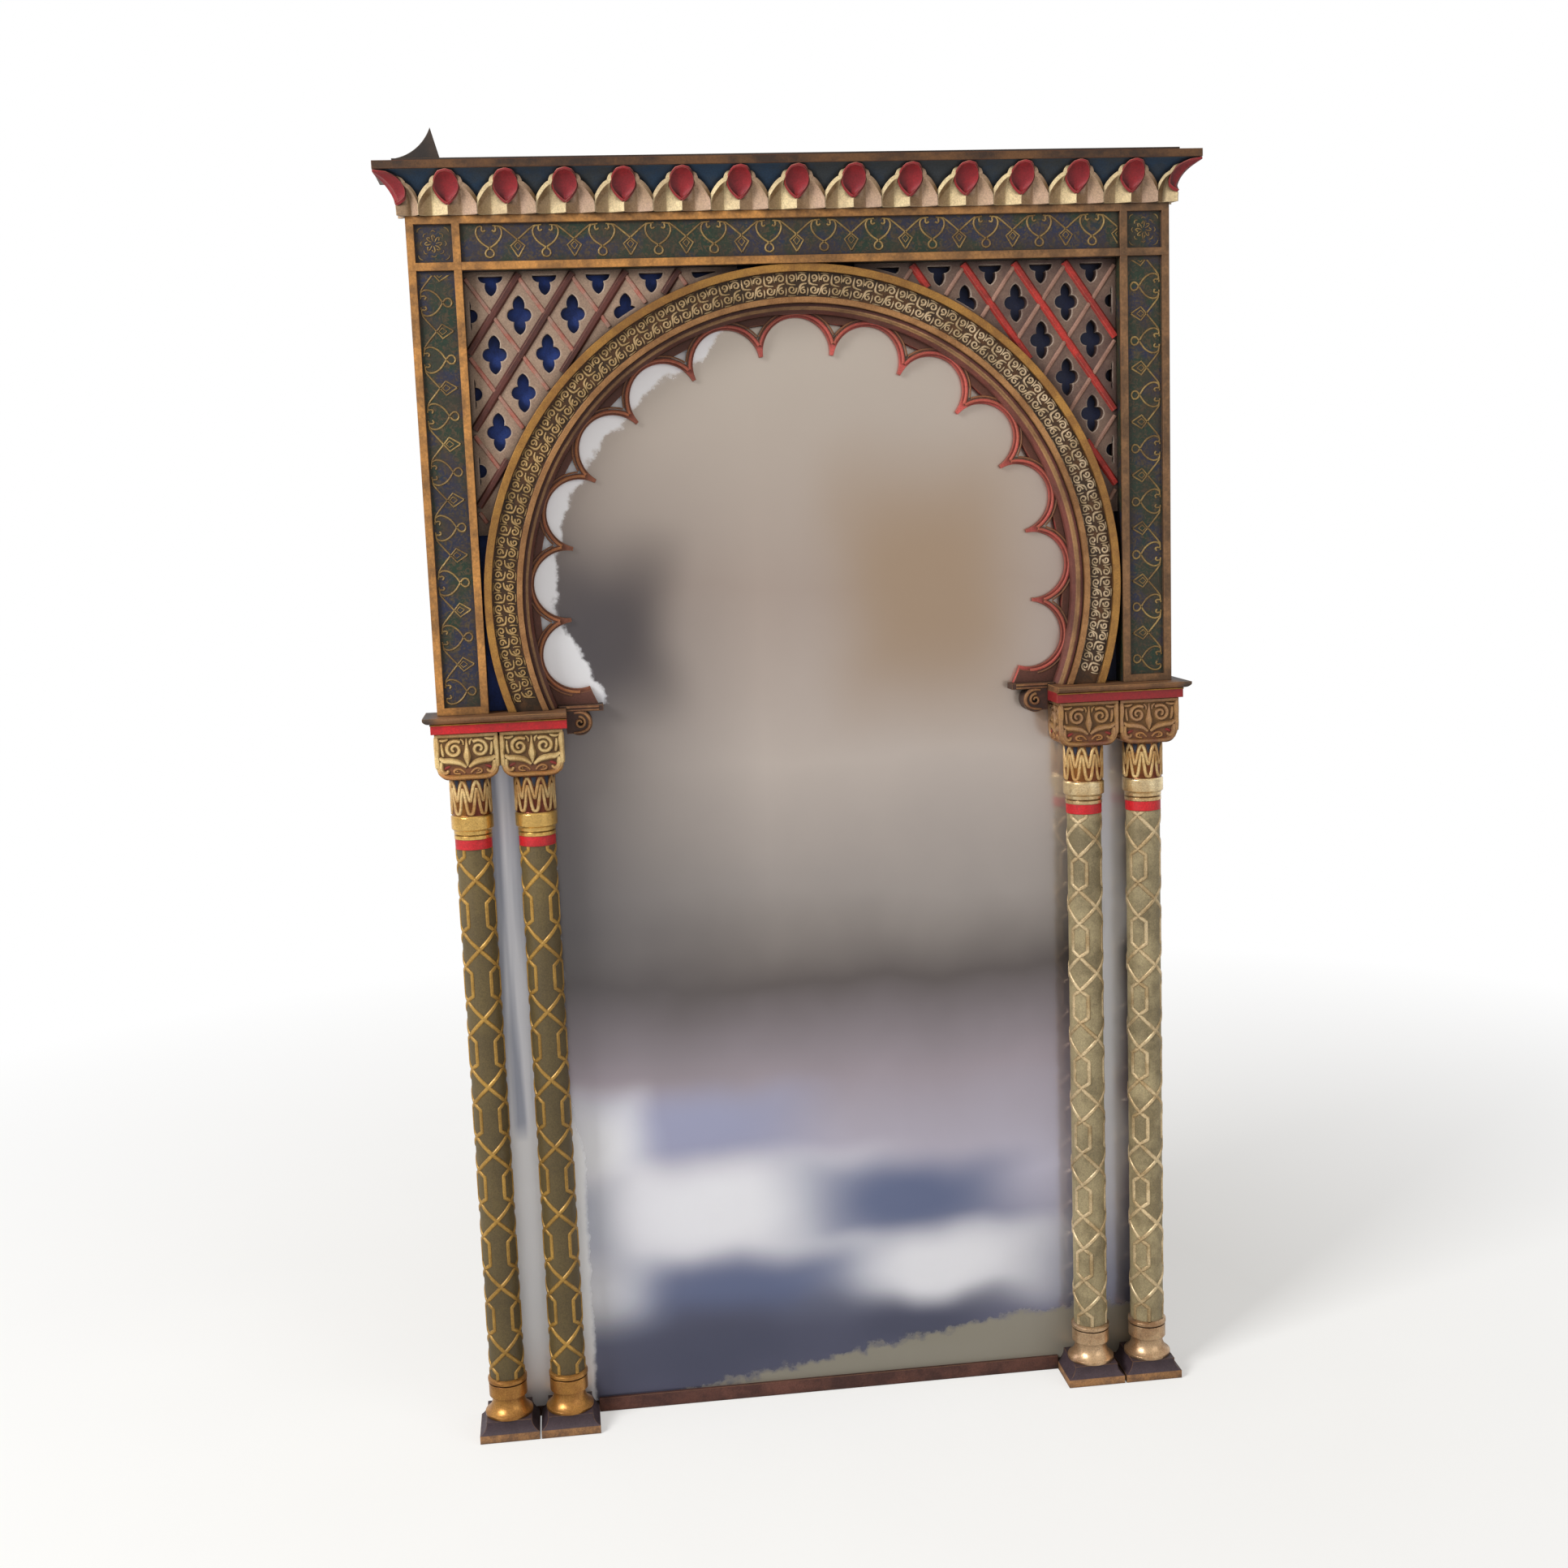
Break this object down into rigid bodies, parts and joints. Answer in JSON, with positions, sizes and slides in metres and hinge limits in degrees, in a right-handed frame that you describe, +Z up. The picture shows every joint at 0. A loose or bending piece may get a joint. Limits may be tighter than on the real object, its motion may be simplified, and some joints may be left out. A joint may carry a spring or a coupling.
{
  "type": "arched mirror",
  "caption": "Wall mirror in Moorish revival style: a lobed horseshoe arch with pierced spandrels and a flared cornice on paired turned columns, in front of an aged plate.",
  "frame": {"origin": "middle of the lower edge of the rear frame's back face, on the wall plane", "axes": "+X to the viewer's right, +Y into the wall, +Z up"},
  "size_m": [0.855, 0.0935, 1.409],
  "materials": {
    "arch_gilt": "carved and gilt over a dark ground",
    "backboard_ply": "bare aged board",
    "border_teal": "painted dark teal with gold interlace",
    "cap_dark": "dark stained",
    "column_gilt": "carved and gilt, worn",
    "corbel_gilt": "carved and gilt, worn",
    "cornice_blue": "painted dark blue-green",
    "fillet_gold": "gilt",
    "frame_pine": "bare aged pine",
    "hanger_steel": "dull steel",
    "impost_dark": "painted dark brown",
    "impost_red": "painted red",
    "lattice_cream": "painted cream with red ribs",
    "petal_cream": "painted cream, tan and red",
    "plinth_brown": "painted dark brown, worn edges",
    "rail_red_brown": "painted red-brown, worn",
    "screw_steel": "dull steel",
    "shaft_olive": "painted olive with gold straps",
    "silvered_glass": "aged silvered plate with foxing",
    "soffit_brown": "painted red-brown",
    "spandrel_blue": "painted blue",
    "tracery_brown": "painted brown with red rims"
  },
  "bodies": {
    "mirror": {"arch_band": "arch_gilt", "arch_soffit": "soffit_brown", "backboard": "backboard_ply", "backboard_screws": "screw_steel", "border_stile_left": "border_teal", "border_stile_right": "border_teal", "border_top": "border_teal", "bottom_rail": "rail_red_brown", "capital_inner_left": "column_gilt", "capital_inner_right": "column_gilt", "capital_outer_left": "column_gilt", "capital_outer_right": "column_gilt", "column_base_inner_left": "column_gilt", "column_base_inner_right": "column_gilt", "column_base_outer_left": "column_gilt", "column_base_outer_right": "column_gilt", "column_neck_inner_left": "column_gilt", "column_neck_inner_right": "column_gilt", "column_neck_outer_left": "column_gilt", "column_neck_outer_right": "column_gilt", "column_shaft_inner_left": "shaft_olive", "column_shaft_inner_right": "shaft_olive", "column_shaft_outer_left": "shaft_olive", "column_shaft_outer_right": "shaft_olive", "corbel_left": "corbel_gilt", "corbel_right": "corbel_gilt", "corner_block_left": "border_teal", "corner_block_right": "border_teal", "corner_crest": "cap_dark", "cornice_cap": "cap_dark", "cornice_cove": "cornice_blue", "cornice_fillet": "fillet_gold", "cornice_petals": "petal_cream", "frame_screws": "screw_steel", "glazing_strip_left": "frame_pine", "glazing_strip_right": "frame_pine", "hanger_screws": "screw_steel", "hanger_strap_left": "hanger_steel", "hanger_strap_right": "hanger_steel", "hanging_rail": "frame_pine", "impost_band_left": "impost_red", "impost_band_right": "impost_red", "impost_slab_left": "impost_dark", "impost_slab_right": "impost_dark", "lattice_left": "lattice_cream", "lattice_right": "lattice_cream", "lobed_tracery": "tracery_brown", "mirror_glass": "silvered_glass", "plinth_inner_left": "plinth_brown", "plinth_inner_right": "plinth_brown", "plinth_outer_left": "plinth_brown", "plinth_outer_right": "plinth_brown", "rear_rail_bottom": "frame_pine", "rear_rail_top": "frame_pine", "rear_stile_left": "frame_pine", "rear_stile_right": "frame_pine", "red_collars": "impost_red", "spandrel_ground": "spandrel_blue"},
    "ring_left": {"hanger_ring_left": "hanger_steel"},
    "ring_right": {"hanger_ring_right": "hanger_steel"}
  },
  "joints": [
    {"name": "ring_left_swing", "type": "hinge", "parent": "mirror", "child": "ring_left", "pos_m": [-0.2, -0.00437, 1.264], "axis": [1, 0, 0], "range_deg": [0, 180]},
    {"name": "ring_right_swing", "type": "hinge", "parent": "mirror", "child": "ring_right", "pos_m": [0.2, -0.00437, 1.264], "axis": [1, 0, 0], "range_deg": [0, 180]}
  ]
}
